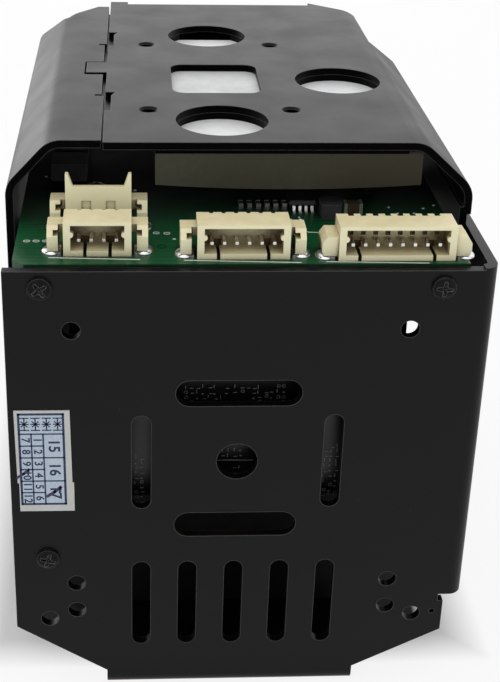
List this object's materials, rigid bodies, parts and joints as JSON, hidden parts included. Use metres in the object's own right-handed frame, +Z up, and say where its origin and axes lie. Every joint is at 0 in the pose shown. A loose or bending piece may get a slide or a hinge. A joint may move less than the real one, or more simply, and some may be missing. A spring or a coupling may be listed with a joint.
{
  "type": "ip camera module",
  "caption": "Zoom lens camera module in a folded black sheet-metal case with a slotted back plate, circuit boards and wafer connectors.",
  "frame": {"origin": "middle of the base's underside, under the lens axis and halfway along the module's length", "axes": "+Y from the slotted back plate to the lens, +Z up from the base, +X to the right seen from the back plate"},
  "size_m": [0.0508, 0.0906, 0.0612],
  "materials": {
    "black_steel": "fine matt black powder coat with a soft sheen",
    "silver_plate": "bright rolled sheet",
    "spreader": "mottled olive grey face",
    "pad": "soft grey silicone",
    "board": "green solder mask with white print",
    "dark_board": "dark green solder mask",
    "cream_plastic": "natural cream nylon",
    "black_plastic": "moulded matt black",
    "tinned_metal": "bright tin",
    "chip_plastic": "moulded epoxy",
    "ferrite": "pressed ferrite",
    "ceramic": "brown ceramic with tinned ends",
    "brass": "turned",
    "black_screw": "black zinc",
    "paper": "white paper label with a blue grid",
    "steel": "ground",
    "lens_glass": "coated optical glass",
    "filter_glass": "infrared blocking glass",
    "ring_metal": "satin black",
    "sensor_face": "dark glass over silicon",
    "ribbon": "amber film"
  },
  "bodies": {
    "case": {"chassis": "black_steel", "left_cover": "black_steel", "top_bracket": "black_steel", "inner_plate": "silver_plate", "heat_spreader": "spreader", "thermal_pad": "pad", "network_board": "board", "control_board": "dark_board", "board_header": "black_plastic", "left_connector_housing": "cream_plastic", "left_connector_pins": "tinned_metal", "left_connector_nails": "tinned_metal", "middle_connector_housing": "cream_plastic", "middle_connector_pins": "tinned_metal", "middle_connector_nails": "tinned_metal", "right_connector_housing": "cream_plastic", "right_connector_pins": "tinned_metal", "right_connector_nails": "tinned_metal", "rear_connector_housing": "cream_plastic", "rear_connector_pins": "tinned_metal", "rear_connector_nails": "tinned_metal", "network_chip": "chip_plastic", "driver_chip": "chip_plastic", "power_inductors": "ferrite", "ceramic_capacitors": "ceramic", "chip_resistors": "chip_plastic", "clock_crystal": "tinned_metal", "board_standoffs": "brass", "board_screws": "black_screw", "control_spacers": "brass", "plate_posts": "brass", "plate_screws": "black_screw", "base_screws": "black_screw", "case_screws": "black_screw", "date_label": "paper", "lens_housing": "black_plastic", "rear_frame": "black_plastic", "guide_rods": "steel", "relay_holder": "black_plastic", "relay_lens": "lens_glass", "zoom_motor": "steel", "focus_motor": "steel", "front_barrel": "black_plastic", "front_ring": "ring_metal", "front_lens": "lens_glass", "filter_actuator": "black_plastic", "image_sensor": "sensor_face", "sensor_board": "dark_board", "ribbon_sockets": "cream_plastic", "ribbon_cable": "ribbon"},
    "zoom_group": {"zoom_carriage": "black_plastic", "zoom_lens": "lens_glass"},
    "focus_group": {"focus_carriage": "black_plastic", "focus_lens": "lens_glass"},
    "zoom_screw": {"zoom_lead_screw": "steel"},
    "focus_screw": {"focus_lead_screw": "steel"},
    "filter_group": {"filter_slide": "black_plastic", "infrared_filter": "filter_glass", "clear_filter": "lens_glass"}
  },
  "joints": [
    {"name": "zoom_travel", "type": "slide", "parent": "case", "child": "zoom_group", "axis": [0, 1, 0], "range_m": [-0.008, 0.006]},
    {"name": "focus_travel", "type": "slide", "parent": "case", "child": "focus_group", "axis": [0, 1, 0], "range_m": [-0.01, 0.005]},
    {"name": "zoom_screw_spin", "type": "hinge", "parent": "case", "child": "zoom_screw", "pos_m": [-0.009, 0, 0.0073], "axis": [0, 1, 0], "range_deg": [-2880, 2160]},
    {"name": "focus_screw_spin", "type": "hinge", "parent": "case", "child": "focus_screw", "pos_m": [0.009, 0, 0.0073], "axis": [0, 1, 0], "range_deg": [-3600, 1800]},
    {"name": "filter_shift", "type": "slide", "parent": "case", "child": "filter_group", "axis": [1, 0, 0], "range_m": [0, 0.009]}
  ],
  "couplings": [
    {"joint": "zoom_screw_spin", "follows": "zoom_travel", "rad_per_m": 6283},
    {"joint": "focus_screw_spin", "follows": "focus_travel", "rad_per_m": 6283}
  ]
}
